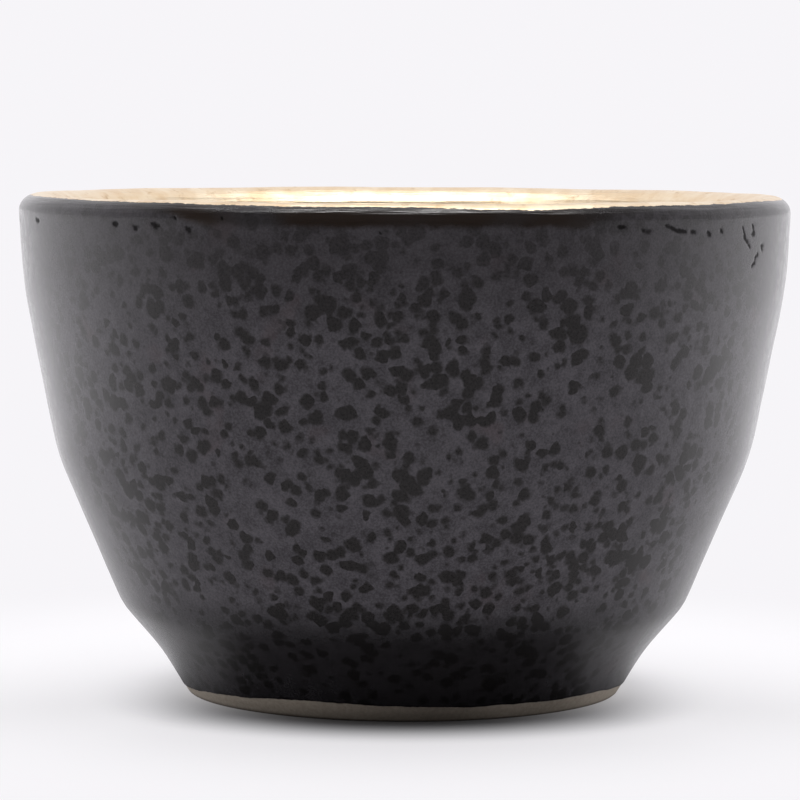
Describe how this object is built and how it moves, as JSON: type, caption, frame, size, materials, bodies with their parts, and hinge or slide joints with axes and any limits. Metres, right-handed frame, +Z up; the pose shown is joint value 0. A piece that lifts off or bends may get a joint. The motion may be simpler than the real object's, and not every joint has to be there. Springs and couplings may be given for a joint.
{
  "type": "sake cup",
  "caption": "Small hollow stoneware cup for sake, with a flared trimmed foot, dark mottled glaze outside and gold inside; it stands on its foot ring.",
  "frame": {"origin": "on the turning axis, at the plane that the foot ring stands on", "axes": "+Z up along the turning axis; -Y towards the viewer of the picture, +X to the viewer's right"},
  "size_m": [0.07, 0.07, 0.0454],
  "materials": {
    "dark_glaze": "satin charcoal glaze with darker spots outside, gold leaf inside and over the lip, bare clay round the foot and underneath"
  },
  "bodies": {
    "root": {"cup": "dark_glaze"}
  },
  "joints": []
}
